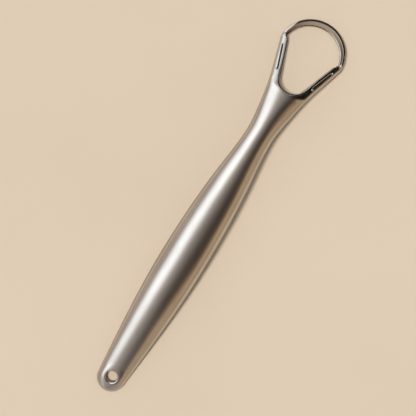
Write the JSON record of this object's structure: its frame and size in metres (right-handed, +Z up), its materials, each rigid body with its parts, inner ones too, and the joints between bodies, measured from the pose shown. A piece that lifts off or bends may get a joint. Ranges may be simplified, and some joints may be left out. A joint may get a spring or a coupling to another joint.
{
  "type": "tongue scraper",
  "caption": "Steel tongue scraper with a hollow bowed handle, a hanging hole in the tail and a forked head that carries a thin scraping loop.",
  "frame": {"origin": "under the middle of the tool's box, on the surface that the tool lies on, back down", "axes": "+X along the tool from the tail to the tip of the loop, +Z up out of the front face, +Y across to the left"},
  "size_m": [0.1668, 0.027, 0.0163],
  "materials": {
    "satin_steel": "satin",
    "polished_steel": "polished"
  },
  "bodies": {
    "root": {"handle_front_shell": "satin_steel", "handle_rear_shell": "satin_steel", "hanging_eyelet": "polished_steel", "head_fork": "satin_steel", "scraper_band": "polished_steel", "tack_welds": "polished_steel"}
  },
  "joints": []
}
